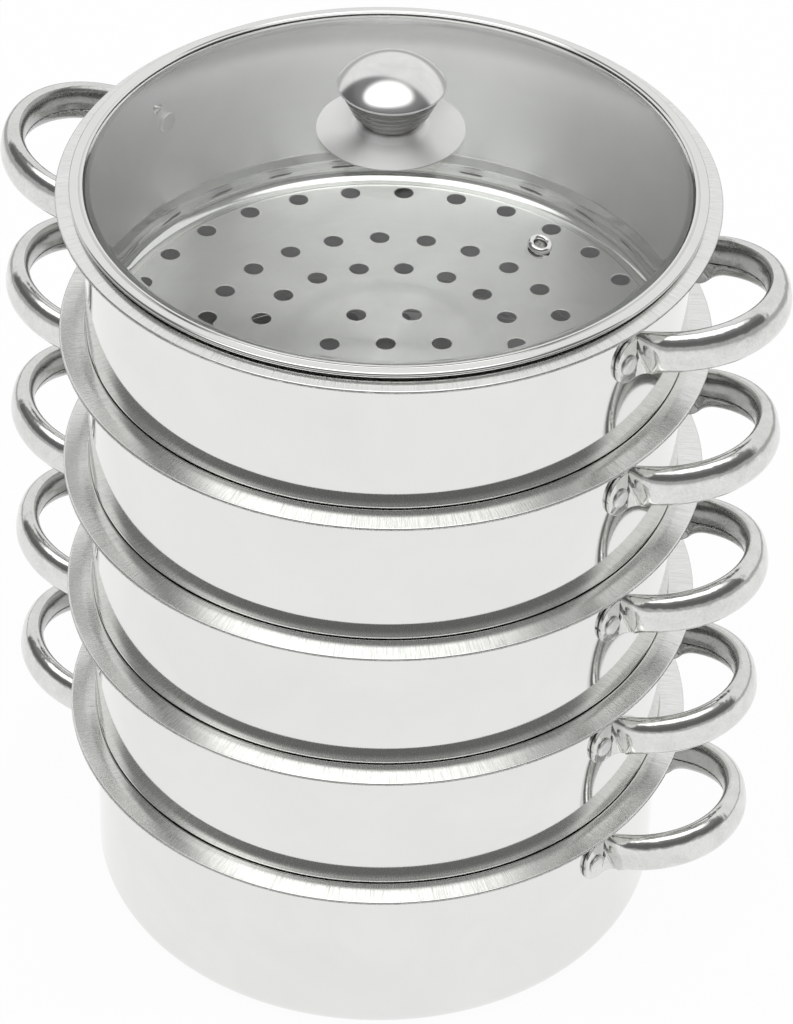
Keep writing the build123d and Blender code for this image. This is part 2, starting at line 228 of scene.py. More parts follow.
def group(name, inputs, outputs):
    """An empty node group with named float inputs and outputs."""
    tree = bpy.data.node_groups.new(name, "ShaderNodeTree")
    for label, value in inputs:
        socket = tree.interface.new_socket(label, in_out="INPUT", socket_type="NodeSocketFloat")
        socket.default_value = value
    for label in outputs:
        tree.interface.new_socket(label, in_out="OUTPUT", socket_type="NodeSocketFloat")
    return tree, tree.nodes.new("NodeGroupInput").outputs, tree.nodes.new("NodeGroupOutput").inputs


def round_axis(tree, out_scale, turn_scale):
    """A point's place round the axis: (radius + height) x one scale, and the sine and the cosine of
    its angle x the other."""
    split = new_node(tree, "SeparateXYZ")
    link(tree, new_node(tree, "TexCoord").outputs["Object"], split.inputs[0])
    x, y, z = split.outputs
    along = math_node(tree, "ADD", hypotenuse(tree, x, y), z)
    angle = math_node(tree, "ARCTAN2", y, x)
    sine, cosine = (
        math_node(tree, "MULTIPLY", math_node(tree, wave, angle), turn_scale) for wave in ("SINE", "COSINE")
    )
    return math_node(tree, "MULTIPLY", along, out_scale), sine, cosine


def line_noise(tree, parts, **settings):
    """Noise over three numbers taken as a place."""
    place = new_node(tree, "CombineXYZ")
    for part, socket in zip(parts, place.inputs):
        link(tree, part, socket)
    noise = new_node(tree, "TexNoise", Scale=1.0, **settings)
    link(tree, place.outputs[0], noise.inputs["Vector"])
    return noise.outputs[0]


def lathe_lines_group():
    """Fine lines round the axis, left by the polishing wheel: noise that changes quickly with radius
    and height, and slowly with the angle."""
    tree, given, result = group("Lathe lines", [("Lines per metre", 4000), ("Turn", 3)], ["Height", "Mask"])
    place = round_axis(tree, given["Lines per metre"], given["Turn"])
    noise = line_noise(tree, place, Detail=3.0, Roughness=0.6)
    link(tree, noise, result["Height"])
    link(tree, noise, result["Mask"])
    return tree


def radial_strokes_group():
    """Short strokes that run outwards, from brushing a flange across its width: noise that changes
    quickly with the angle and slowly with the radius."""
    tree, given, result = group("Radial strokes", [("Strokes", 420), ("Length", 120)], ["Height", "Mask"])
    depth, sine, cosine = round_axis(tree, given["Length"], given["Strokes"])
    noise = line_noise(tree, (sine, cosine, depth), Detail=4.0, Roughness=0.7)
    link(tree, noise, result["Height"])
    link(tree, remap(tree, noise, From_Min=0.45, From_Max=0.75), result["Mask"])
    return tree


def handling_group():
    """Faint cloudy marks from wiping and handling."""
    tree, given, result = group("Handling marks", [("Scale", 22)], ["Marks"])
    place = new_node(tree, "TexCoord").outputs["Object"]
    cloud = new_node(tree, "TexNoise", Detail=5.0, Roughness=0.62, Distortion=0.6)
    link(tree, place, cloud.inputs["Vector"])
    link(tree, given["Scale"], cloud.inputs["Scale"])
    link(tree, remap(tree, cloud.outputs[0], From_Min=0.35, From_Max=0.75), result["Marks"])
    return tree


def new_material(name):
    """A material with its node tree and its main shader."""
    material = bpy.data.materials.new(name)
    material.use_nodes = True
    return material, material.node_tree, material.node_tree.nodes["Principled BSDF"]


def mix_colour(tree, share, low, high):
    """The low colour where the share is 0, and the high one where it is 1."""
    mix = new_node(tree, "Mix", data_type="RGBA")
    mix.inputs[6].default_value = (*low, 1)
    mix.inputs[7].default_value = (*high, 1)
    link(tree, share, mix.inputs[0])
    return mix.outputs[2]


def mix_shaders(tree, share, first, second):
    """The material shows the first shader where the share is 0, and the second where it is 1."""
    mix = new_node(tree, "MixShader")
    for source, socket in zip((share, first, second), mix.inputs):
        link(tree, source, socket)
    link(tree, mix.outputs[0], tree.nodes["Material Output"].inputs[0])


lathe_lines, radial_strokes, handling_marks = lathe_lines_group(), radial_strokes_group(), handling_group()
least_worn = 0.6            # share of the wear along lines where no mark lies


def steel(name, colour, roughness, worn, finish=None, depth=0.0, distance=0.00002, cloud=22, cloud_tint=0.04,
          line_tint=0.0, brushed=None, **shader):
    """Stainless steel: roughness rises and the colour darkens a little where marks and lines gather.

    finish is a group of lines that also stands up as bump, and depth says how strongly. brushed says
    which way the steel is brushed: 0 is outwards and 0.25 round the axis.
    """
    material, tree, base = new_material(name)
    base.inputs["Metallic"].default_value = 1.0
    for key, value in shader.items():
        base.inputs[key.replace("_", " ")].default_value = value
    if brushed is not None:
        base.inputs["Anisotropic Rotation"].default_value = brushed
        tangent = new_node(tree, "Tangent", direction_type="RADIAL", axis="Z")
        link(tree, tangent.outputs[0], base.inputs["Tangent"])
    gather = new_node(tree, "Group", node_tree=handling_marks, Scale=cloud).outputs["Marks"]
    tint = math_node(tree, "MULTIPLY", gather, cloud_tint)
    if finish is not None:
        lines = new_node(tree, "Group", node_tree=finish).outputs
        gather = math_node(tree, "MULTIPLY", lines["Mask"], math_node(tree, "ADD", gather, least_worn))
        tint = math_node(tree, "ADD", tint, math_node(tree, "MULTIPLY", lines["Mask"], line_tint))
        bump = new_node(tree, "Bump", Strength=depth, Distance=distance)
        link(tree, lines["Height"], bump.inputs["Height"])
        link(tree, bump.outputs[0], base.inputs["Normal"])
    link(tree, mix_colour(tree, tint, colour, (0, 0, 0)), base.inputs["Base Color"])
    link(tree, remap(tree, gather, To_Min=roughness, To_Max=worn), base.inputs["Roughness"])
    return material


polished = steel("polished_steel", (0.80, 0.805, 0.785), 0.035, 0.09, lathe_lines, 0.05)
# Lighter than the outside's steel, though each vessel is one sheet: the satin finish is real, and the raised
# colour is painted light for the inside under the lid.
inside_steel = steel("satin_inside_steel", (0.93, 0.935, 0.92), 0.32, 0.42, lathe_lines, 0.08,
                     cloud_tint=0.08, brushed=0.25, Anisotropic=0.8)
flange_steel = steel("brushed_flange_steel", (0.86, 0.865, 0.845), 0.20, 0.40, radial_strokes, 0.7, 0.00003,
                     line_tint=0.26, brushed=0.0, Anisotropic=0.6)


def flange_top_rows():
    """From the hem's nose, in over the flange, to the end of its bend: (radius, height) pairs."""
    return rounded(
        [
            (flange_edge, -flange_fall - hem_half), (flange_edge, -flange_fall), (flange_crown, 0),
            (bore, 0), (bore, bend_end),
        ],
        [hem_half, crown_round, flange_bend],
        14,
    )


def flange_under_rows():
    """From the wall, out under the flange, round the folded hem, to its nose."""
    back = flange_edge - hem_width
    return rounded(
        [
            (wall, bend_end), (wall, -sheet), (flange_crown, -sheet),
            (back, -sheet - flange_fall / 2), (back, -flange_fall - 2 * hem_half),
            (flange_edge, -flange_fall - 2 * hem_half), (flange_edge, -flange_fall - hem_half),
        ],
        [flange_bend - sheet, crown_round, 0, 0, hem_half],
        8,
    )


def stand(rows, name):
    """Rows drawn from the flange's top down, lifted to this vessel's flange."""
    return np.asarray(rows) + (0, flange_top[name])


def split_flange(rows):
    """The flange's flat brushed face, and the bend that follows it."""
    inner = bore + flange_bend
    cut = int(np.argmax(rows[:, 0] < inner + near))
    return rows[: cut + 1], rows[cut:]


def pot_shell():
    """Inside and outside of the drawn pot, as one closed skin."""
    outside = rounded([(0, -pot_height), (wall, -pot_height), (wall, bend_end)], [pot_corner + sheet])
    inside = rounded([(bore, bend_end), (bore, sheet - pot_height), (0, sheet - pot_height)], [pot_corner])
    face, bend = split_flange(flange_top_rows())
    grids = [(outside, 0), (flange_under_rows(), 0), (face, 1), (bend, 0), (inside, 2)]
    grids = [(lathe(stand(rows, "pot")), slot) for rows, slot in grids]
    return surface("pot_shell_skin", grids, [polished, flange_steel, inside_steel])


stand_for(pot_shell(), "pot_shell")

# Steamer tiers
# Each tier is drawn like the pot, but its wall steps in to a foot that nests in the tier below, and
# its floor is punched with a hole in the middle and four rings of steam holes round a raised disc.

floor_depth = 0.0786
floor_corner = 0.0062
shoulder_slot = 0.0007      # the wall turns in this far above the flange below
shoulder_depth = flange_top["steamer_1"] - flange_top["pot"] - shoulder_slot
shoulder_height = 0.0035
shoulder_step = 0.0015
shoulder_rounds = [0.0012, 0.0018]
drawn_steps = 8             # steps along the arc of a drawn corner
disc_top, disc_foot, disc_rise = 0.034, 0.047, 0.0005
hole = 0.004
hole_turn = math.radians(24)
hole_lip = 0.0003           # the punch rolls the edge over by this much
hole_hold = 0.0001          # a row of points this far from a rim keeps the plate flat when shaded
lip_turns = np.linspace(0, math.pi / 2, 4)
hole_rings = [
    {"count": 6, "radius": 0.0229, "inner": 0.013, "outer": 0.033, "side": 16},
    {"count": 18, "radius": 0.0537, "inner": 0.046, "outer": 0.062, "side": 12},
    {"count": 24, "radius": 0.0753, "inner": 0.068, "outer": 0.084, "side": 12},
    {"count": 30, "radius": 0.1087, "inner": 0.1005, "outer": 0.1133, "side": 10},
]


def disc_height(radius):
    """Height of the floor's top at a radius: rise x (1 - cos(pi x share)) / 2 above the floor, where
    the share goes from 0 at the disc's foot to 1 at its flat top."""
    share = np.clip((disc_foot - radius) / (disc_foot - disc_top), 0, 1)
    return disc_rise * (1 - np.cos(math.pi * share)) / 2 - floor_depth


def ring_grids(ring, top, under):
    """Every sector of one ring of holes, with its top and underside at heights given by radius.

    Columns run once round a sector's edge. Rows run from there straight in to the hole's rim on top,
    over its rolled lip, down through the sheet and back out to the edge below: a row is
    edge x (1 - share) + rim x share, and the lip lies at size + lip x (1 - sin a), lip x (1 - cos a) down.
    """
    half = math.pi / ring["count"]
    steps = turns // ring["count"]
    sweep = np.linspace(-half, half, steps + 1)
    side = np.linspace(ring["inner"], ring["outer"], ring["side"] + 1)
    edge_angle = np.concatenate([
        np.full(ring["side"], half), sweep[::-1][:-1], np.full(ring["side"], -half), sweep
    ])
    edge_radius = np.concatenate([
        side[:-1], np.full(steps, ring["outer"]), side[::-1][:-1], np.full(steps + 1, ring["inner"])
    ])
    edge = round_points(edge_radius, edge_angle, 0)[:, :2]
    middle = np.array([ring["radius"], 0])
    aim = unit(edge - middle)
    size = ring.get("hole", hole)
    rim, bottom = middle + aim * (size + hole_lip), middle + aim * size
    near_rim, near_bottom = rim + aim * hole_hold, bottom + aim * hole_hold
    outlines = [
        (edge * (1 - share) + near_rim * share, top, 0)
        for share in np.linspace(0, 1, ring.get("rows", 3))
    ]
    outlines.append((rim, top, 0))
    for turn in lip_turns[1:]:
        row = middle + aim * (size + hole_lip * (1 - math.sin(turn)))
        outlines.append((row, top, hole_lip * (1 - math.cos(turn))))
    outlines.append((bottom, under, 0))
    outlines += [
        (near_bottom * (1 - share) + edge * share, under, 0)
        for share in np.linspace(0, 1, ring.get("rows", 2))
    ]
    grids = []
    for number in range(ring["count"]):
        if number in ring.get("plain", ()):
            continue
        turn = ring.get("turn", hole_turn) + number * 2 * half
        spin = np.array([[math.cos(turn), math.sin(turn)], [-math.sin(turn), math.cos(turn)]])
        rows = [
            np.column_stack([row @ spin, height(np.linalg.norm(row, axis=1)) - drop])
            for row, height, drop in outlines
        ]
        grids.append(np.array(rows)[:, ::-1])
    return grids


def band_grid(outer, inner, rows, height, start=0.0, end=0.0):
    """A plain band between two radii, with its height given by radius.

    Its points may turn from a start to an end angle, so that it joins rings of holes whose edges lie
    half a step apart.
    """
    share = np.linspace(0, 1, rows + 1)[:, None]
    radius = outer + (inner - outer) * share
    angle = np.linspace(0, 2 * math.pi, turns + 1) + start + (end - start) * share
    return round_points(radius, angle, height(radius))


def centre_rows(lift):
    """The hole in the floor's middle: in over the disc, round the rolled lip, and back out below."""
    edge, rim = hole_rings[0]["inner"], hole + hole_lip
    top = disc_rise - floor_depth + lift
    lip = np.column_stack([rim - hole_lip * np.sin(lip_turns), top - hole_lip * (1 - np.cos(lip_turns))])
    below = [(hole, top - sheet), (hole + hole_hold, top - sheet), (edge, top - sheet)]
    return np.array([(edge, top), (rim + hole_hold, top), *lip, *below])


def floor_grids(lift):
    """The whole punched floor: rings of holes, the plain bands between them and the middle hole."""
    def top(radius):
        return disc_height(radius) + lift

    def under(radius):
        return disc_height(radius) + lift - sheet

    half_step = math.pi / turns
    grids = []
    for ring in hole_rings:
        grids += ring_grids(ring, top, under)
    inner, second, third, fourth = hole_rings
    bands = [
        (fourth["inner"], third["outer"], 2, 0, half_step),
        (third["inner"], second["outer"], 1, half_step, 0),
        (second["inner"], inner["outer"], 9, 0, 0),
    ]
    for outer_edge, inner_edge, rows, start, end in bands:
        grids.append(band_grid(outer_edge, inner_edge, rows, top, start, end))
        grids.append(band_grid(inner_edge, outer_edge, rows, under, end, start))
    return grids + [lathe(centre_rows(lift))]


# Lighter still than the inside's steel, though the floor is drawn from the same sheet: the satin finish is
# real, and the raised colour is painted light.
floor_steel = steel("satin_floor_steel", (0.95, 0.955, 0.94), 0.34, 0.46, lathe_lines, 0.12, cloud_tint=0.12,
                    line_tint=0.12, brushed=0.25, Anisotropic=0.92)


def tier_shell(name):
    """One tier: wall, shoulder, foot and flange as in the pot, and the punched floor.

    The drawn corners inside stay bright. Each has its arc's steps and three more points.
    """
    foot = wall - shoulder_step
    low = -shoulder_depth - shoulder_height
    join = hole_rings[-1]["outer"]
    shift = sheet * math.tan(math.atan2(shoulder_step, shoulder_height) / 2)
    outside = rounded(
        [
            (join, -floor_depth - sheet), (foot, -floor_depth - sheet), (foot, low),
            (wall, -shoulder_depth), (wall, bend_end),
        ],
        [floor_corner + sheet, *shoulder_rounds],
        drawn_steps,
    )
    inside = rounded(
        [
            (bore, bend_end), (bore, -shoulder_depth + shift), (foot - sheet, low + shift),
            (foot - sheet, -floor_depth), (join, -floor_depth),
        ],
        [*shoulder_rounds, floor_corner - 1e-6],
        drawn_steps,
    )
    face, bend = split_flange(flange_top_rows())
    arc = drawn_steps + 3
    rows = [
        (outside, 0), (flange_under_rows(), 0), (face, 1), (bend, 0),
        (inside[:2], 2),
        (inside[1 : 1 + 2 * arc], 0),
        (inside[2 * arc : 2 + 2 * arc], 2),
        (inside[1 + 2 * arc : 1 + 3 * arc], 0),
        (inside[3 * arc :], 2),
    ]
    grids = [(lathe(stand(part, name)), slot) for part, slot in rows]
    grids += [(grid, 3) for grid in floor_grids(flange_top[name])]
    return surface(f"{name}_shell_skin", grids, [polished, flange_steel, inside_steel, floor_steel])


for name in tier_names:
    stand_for(tier_shell(name), f"{name}_shell")

# Loop handles
# Each handle is a strip of steel rolled into a flattened tube and bent to a loop. Its edges meet in
# an open seam inside the loop, and its ends are pressed flat into ears that are riveted to the wall.

handle_sheet = 0.0008
tube_width, tube_height = 0.0094, 0.0176
tube_round, tube_round_tall = 0.0046, 0.0074    # the tube's corners are quarter ellipses
ear_thickness, ear_height, ear_round = 0.0016, 0.0200, 0.0006
reach, drop, tilt = 0.0406, 0.0125, math.radians(11.5)
tip_radius, tip_turn = 0.034, math.radians(52.6)
side_radius, side_turn = 0.0384, math.radians(30.7)
seam_width, seam_drop = 0.0008, 0.0015
seam_close = 0.9            # share of the seam's width that is pressed shut at the ears
seam_hold = 0.0002          # a row of points this far from the seam keeps its edges crisp
corner_steps = 12           # points in each corner of the section
hair = 0.00001              # what is pressed flat stays this far apart
leg_pull, ear_pull, ear_lift = 0.0085, 0.0035, 0.0002     # reach of the curve between leg and ear at its ends
squash_speed = 1.25         # the tube is flat before the curve ends
rivet_turn, rivet_drop = math.radians(19), 0.0255
ear_rise, ear_root, ear_end, ear_corner = 0.001, 0.005, 0.0068, 0.0085
ear_gap = 0.0001


def smooth_step(share):
    """3 share^2 - 2 share^3."""
    return share**2 * (3 - 2 * share)


def loop_middle():
    """Half of the loop's middle line, from the tip to the foot of the leg, with its headings.

    In the loop's plane it is an arc round the tip and a flatter arc down the leg, along = r sin a and
    out = r cos a from each arc's own centre. The plane rises outwards by the tilt.
    """
    tip = np.linspace(0, tip_turn, 30)[:-1]
    leg = np.linspace(tip_turn, tip_turn + side_turn, 16)
    shift = tip_radius - side_radius
    along = np.concatenate([tip_radius * np.sin(tip), shift * math.sin(tip_turn) + side_radius * np.sin(leg)])
    out = np.concatenate([
        tip_radius * (np.cos(tip) - 1), shift * math.cos(tip_turn) + side_radius * np.cos(leg) - tip_radius
    ])
    turn = np.concatenate([tip, leg])
    outwards = np.array([math.cos(tilt), 0, math.sin(tilt)])
    sideways = np.array([0, 1, 0])
    centre = np.array([wall + reach, 0, -drop])
    points = centre + along[:, None] * sideways + out[:, None] * outwards
    headings = np.cos(turn)[:, None] * sideways - np.sin(turn)[:, None] * outwards
    return points, headings


def handle_rows():
    """Middle line, heading, upright and size of the section along half the handle.

    After the leg a cubic Bezier curve turns from the leg's heading into the wall's tangent at the
    ear, while the section shrinks from the open tube to two layers of sheet. Past the rivet the ear's
    height follows the circle of its corners to the end: it loses 2 r (1 - sqrt(1 - share^2)).
    """
    points, headings = loop_middle()
    radial, tangent = compass(rivet_turn)
    rivet = radial * (wall + ear_gap + ear_thickness / 2) + (0, 0, ear_rise - rivet_drop)
    root = rivet - tangent * ear_root
    share = np.linspace(0, 1, 19)[1:, None]
    rest = 1 - share
    a, b = points[-1], points[-1] + headings[-1] * leg_pull
    c, d = root - tangent * ear_pull + radial * ear_lift, root
    bend = rest**3 * a + 3 * rest**2 * share * b + 3 * rest * share**2 * c + share**3 * d
    slope = unit(3 * rest**2 * (b - a) + 6 * rest * share * (c - b) + 3 * share**2 * (d - c))
    straight = ear_root + ear_end - ear_corner
    corner_on = straight + ear_corner * np.sin(np.linspace(0, math.pi / 2, 9)[1:])
    reach_on = np.concatenate([np.linspace(0, straight, 6)[1:], corner_on])[:, None]
    flat = root + tangent * reach_on
    middle = np.vstack([points, bend, flat])
    heading = np.vstack([headings, slope, np.repeat(tangent[None], len(flat), 0)])
    up = np.array([-math.sin(tilt), 0, math.cos(tilt)])
    ease = np.concatenate([np.zeros(len(points)), share[:, 0], np.ones(len(flat))])
    smooth = smooth_step(ease)
    upright = up * (1 - smooth[:, None]) + np.array([0, 0, 1]) * smooth[:, None]
    upright = unit(upright - heading * np.sum(upright * heading, axis=1, keepdims=True))
    squash = smooth_step(np.clip(ease * squash_speed, 0, 1))
    width = tube_width + (ear_thickness - tube_width) * squash
    height = tube_height + (ear_height - tube_height) * smooth
    corner = tube_round + (ear_round - tube_round) * squash
    tall = tube_round_tall + (ear_round - tube_round_tall) * squash
    left = np.clip((reach_on[:, 0] - straight) / ear_corner, 0, 1)
    height[-len(flat):] -= 2 * ear_corner * (1 - np.sqrt(1 - left**2))
    return middle, heading, upright, width, height, corner, tall


def tube_section(width, height, corner, tall, gap, low):
    """One closed outline of rolled sheet for each row, as (across, up) with across to the outside.

    It starts at the lower edge of the open seam, runs round the outside of a rectangle with
    elliptical corners (rx cos a, ry sin a) to the seam's upper edge, and comes back round the inside
    of the sheet.
    """
    def outline(w, h, rx, ry):
        """The rectangle from the seam round by the bottom, the outside and the top."""
        quarter = np.linspace(0, math.pi / 2, corner_steps)
        centres = [(-1, -1, 1.0), (1, -1, 1.5), (1, 1, 0.0), (-1, 1, 0.5)]
        across = [-w / 2, -w / 2]
        up = [low - gap / 2, low - gap / 2 - seam_hold]
        for x, y, start in centres:
            for turn in quarter + start * math.pi:
                across.append(x * (w / 2 - rx) + rx * np.cos(turn))
                up.append(y * (h / 2 - ry) + ry * np.sin(turn))
        across += [-w / 2, -w / 2]
        up += [low + gap / 2 + seam_hold, low + gap / 2]
        return np.stack(across, -1), np.stack(up, -1)

    across, up = outline(width, height, corner, tall)
    thin = np.minimum(handle_sheet, width / 2 - hair)
    inner, inner_tall = np.maximum(corner - thin, hair), np.maximum(tall - thin, hair)
    across_in, up_in = outline(width - 2 * thin, height - 2 * thin, inner, inner_tall)
    across = np.concatenate([across, across_in[:, ::-1], across[:, :1]], axis=1)
    up = np.concatenate([up, up_in[:, ::-1], up[:, :1]], axis=1)
    return across, up


def handle_grids(side):
    """The whole handle: half of its rows, and the same rows mirrored in the loop's middle plane.

    The side towards the loop's inside and the inside of the tube are cut off as grids of their own, which take
    a darker steel as painted shade.
    """
    middle, heading, upright, width, height, corner, tall = handle_rows()
    outside = np.cross(heading, upright)
    closing = np.clip((tube_width - width) / (tube_width - ear_thickness), 0, 1)
    gap = seam_width * (1 - seam_close * closing)
    low = -seam_drop * (1 - closing)
    across, up = tube_section(width, height, corner, tall, gap, low)
    grid = middle[:, None] + across[..., None] * outside[:, None] + up[..., None] * upright[:, None]
    end_point = np.repeat(grid[-1:].mean(axis=1, keepdims=True), grid.shape[1], axis=1)
    grid = np.concatenate([grid, end_point])
    mirror = grid[::-1] * (1, -1, 1)
    whole = np.concatenate([mirror[:-1], grid]) * (side, side, 1)
    first = 2 + corner_steps * 3 // 4
    last = 1 + 4 * corner_steps - corner_steps * 3 // 4
    return [(whole[:, : first + 1], 1), (whole[:, first : last + 1], 0), (whole[:, last:], 1)]


def rolled_sheet_group():
    """Shallow waves from rolling and bending the strip, with fine scratches over them."""
    tree, given, result = group("Rolled sheet", [("Waves", 95), ("Scratches", 900)], ["Height", "Mask"])
    place = new_node(tree, "TexCoord").outputs["Object"]
    waves = new_node(tree, "TexNoise", Detail=2.0, Roughness=0.5, Distortion=0.4)
    fine = new_node(tree, "TexNoise", Detail=2.0, Roughness=0.6)
    for noise, label in ((waves, "Waves"), (fine, "Scratches")):
        link(tree, place, noise.inputs["Vector"])
        link(tree, given[label], noise.inputs["Scale"])
    link(tree, blend(tree, waves.outputs[0], fine.outputs[0], 0.04), result["Height"])
    link(tree, remap(tree, fine.outputs[0], From_Min=0.35, From_Max=0.7), result["Mask"])
    return tree


rolled_sheet = rolled_sheet_group()
handle_steel = steel("polished_handle_steel", (0.78, 0.78, 0.765), 0.09, 0.18, rolled_sheet, 1.0, 0.0004,
                     cloud=100, cloud_tint=0.14, line_tint=0.06)
# The same rolled steel, rougher and much darker, for the loop's inside and the inside of the tube: the dark
# colour is painted shade.
dull_painted_shade_handle_steel = steel("dull_painted_shade_handle_steel", (0.48, 0.48, 0.47), 0.18, 0.28, rolled_sheet, 0.5, 0.0004,
                          cloud=45, cloud_tint=0.25, line_tint=0.10)

for name in vessel_names:
    for word, side in (("right", 1), ("left", -1)):
        grids = [(grid + (0, 0, flange_top[name]), slot) for grid, slot in handle_grids(side)]
        piece = surface(f"{name}_handle_{word}_skin", grids, [handle_steel, dull_painted_shade_handle_steel])
        stand_for(piece, f"{name}_handle_{word}")

# Rivets
# One aluminium rivet holds each ear. Its head outside is low with a flat top, and its tail is flat.

rivet_head, rivet_head_height, rivet_edge = 0.0042, 0.0013, 0.0007
rivet_flat, rivet_core = 0.0031, 0.0025
rivet_tail_height = 0.0013


def rivet_grids(name):
    """Head and tail of four rivets: lathe work, laid with its axis square to the wall."""
    base = ear_gap * 2 + ear_thickness
    top = base + rivet_head_height
    head = rounded(
        [(rivet_head, base), (rivet_head, base + rivet_edge), (rivet_flat, top), (0, top)],
        [0.0004, 0.0012], 10,
    )
    head = np.vstack([[(rivet_core, base)], head])
    low = -sheet - rivet_tail_height
    tail = rounded([(0, low), (rivet_head, low), (rivet_head, -sheet), (rivet_core, -sheet)], [0.0004, 0], 6)
    grids = []
    for side in (1, -1):
        for end in (1, -1):
            outwards, round_wall = compass(end * rivet_turn + (0 if side == 1 else math.pi))
            frame_of = np.array([round_wall, (0, 0, 1), outwards])
            place = outwards * wall + (0, 0, flange_top[name] - rivet_drop)
            for part in (head, tail):
                grids.append((lathe(part, 48) @ frame_of + place, 0))
    return grids


rivet_metal = steel("rivet_metal", (0.84, 0.84, 0.83), 0.34, 0.46, cloud=300, cloud_tint=0.12)

for name in vessel_names:
    piece = surface(f"{name}_rivets_skin", rivet_grids(name), [rivet_metal])
    stand_for(piece, f"{name}_rivets")

# Glass of the lid
# A disc of tempered glass, sagged to a dome with a flat ledge round its edge, and pierced for the
# knob's screw and the vent.

lid_base = flange_top["steamer_4"]
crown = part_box("lid_glass")[1].z
glass_thickness, ledge_thickness = 0.0035, 0.0020    # the edge is ground thinner
glass_edge = 0.1232
ledge_radius = 0.1222
ledge_bottom = lid_base + 0.0006
ledge_top = ledge_bottom + ledge_thickness
sag = crown - ledge_top
dome_radius = (ledge_radius**2 + sag**2) / (2 * sag)
dome_centre = crown - dome_radius
knob_hole = 0.0036
vent_hole = 0.0037
vent_place, vent_turn = 0.084, math.radians(-24.6)
vent_sectors, vent_clear = 30, 0.008        # the vent's hole is in one of these, and this far inside its edges
fold_width = 0.0002
fine_radius = 0.116         # rows of points lie closer outside this radius


def sphere_height(radius, ball):
    """Height of a sphere of the dome over a radius: centre + sqrt(ball^2 - radius^2)."""
    return dome_centre + np.sqrt(ball**2 - np.square(radius))


def fold(radius, ball, level):
    """A dome that eases into a flat ledge: level + (gap + sqrt(gap^2 + width^2)) / 2, where the gap is
    how far the dome lies above the ledge."""
    gap = sphere_height(radius, ball) - level
    return level + (gap + np.sqrt(np.square(gap) + fold_width**2)) / 2


def glass_top(radius):
    return fold(radius, dome_radius, ledge_top)


def glass_under(radius):
    return fold(radius, dome_radius - glass_thickness, ledge_bottom)


def glass_grids():
    """Both faces of the glass: plain bands, and one ring of sectors of which one is pierced."""
    ring = {
        "count": vent_sectors, "radius": vent_place, "inner": vent_place - vent_clear,
        "outer": vent_place + vent_clear, "side": 8, "turn": vent_turn, "hole": vent_hole, "rows": 9,
        "plain": range(1, vent_sectors),
    }
    grids = ring_grids(ring, glass_top, glass_under)
    half = math.pi / vent_sectors
    steps = turns // vent_sectors * (vent_sectors - 1)
    angle = np.linspace(vent_turn + half, vent_turn + 2 * math.pi - half, steps + 1)
    radius = np.linspace(ring["outer"], ring["inner"], ring["side"] + 1)[:, None]
    grids.append(round_points(radius, angle, glass_top(radius)))
    grids.append(round_points(radius, angle, glass_under(radius))[::-1])
    start = vent_turn - half
    for outer_edge, inner_edge, count in (
        (glass_edge, fine_radius, 30), (fine_radius, ring["outer"], 28), (ring["inner"], knob_hole, 24)
    ):
        grids.append(band_grid(outer_edge, inner_edge, count, glass_top, start, start))
        grids.append(band_grid(inner_edge, outer_edge, count, glass_under, start, start))
    turn = np.linspace(0, 2 * math.pi, turns + 1) + start
    for edge, inwards in ((glass_edge, False), (knob_hole, True)):
        rows = round_points(edge, turn, np.array([[glass_under(edge)], [glass_top(edge)]]))
        grids.append(rows[::-1] if inwards else rows)
    return [(grid, 0) for grid in grids]


def lid_glass_material():
    """Clear glass with a faint green cast and a few wipe marks. Lamps shine through it."""
    material, tree, base = new_material("lid_glass")
    base.inputs["Transmission Weight"].default_value = 1.0
    base.inputs["IOR"].default_value = 1.5
    base.inputs["Base Color"].default_value = (0.985, 0.992, 0.985, 1)
    marks = new_node(tree, "Group", node_tree=handling_marks).outputs["Marks"]
    link(tree, remap(tree, marks, To_Min=0.0, To_Max=0.012), base.inputs["Roughness"])
    clear = new_node(tree, "BsdfTransparent")
    clear.inputs[0].default_value = (0.94, 0.95, 0.94, 1)
    shadow = new_node(tree, "LightPath").outputs["Is Shadow Ray"]
    mix_shaders(tree, shadow, base.outputs[0], clear.outputs[0])
    return material


stand_for(surface("lid_glass_pane", glass_grids(), [lid_glass_material()]), "lid_glass")

# Rim band of the lid
# A strip of steel is rolled round the edge of the glass, over its top and under it, and turns down
# inside the flange as the lip that centres the lid.

rim_radius = 0.1275
band_sheet = 0.0004
band_gap = 0.0001
lid_seat = 0.0001
band_cover = 0.0053
band_bead = 0.0007          # depth of the groove that sets off the bead at the band's inner edge
lip_depth = 0.003
lip_radius = bore - 0.001
foot_radius, slot = 0.1238, 0.0008      # the band rests on this foot, and its rim stays clear of the flange
band_hold = 0.0001


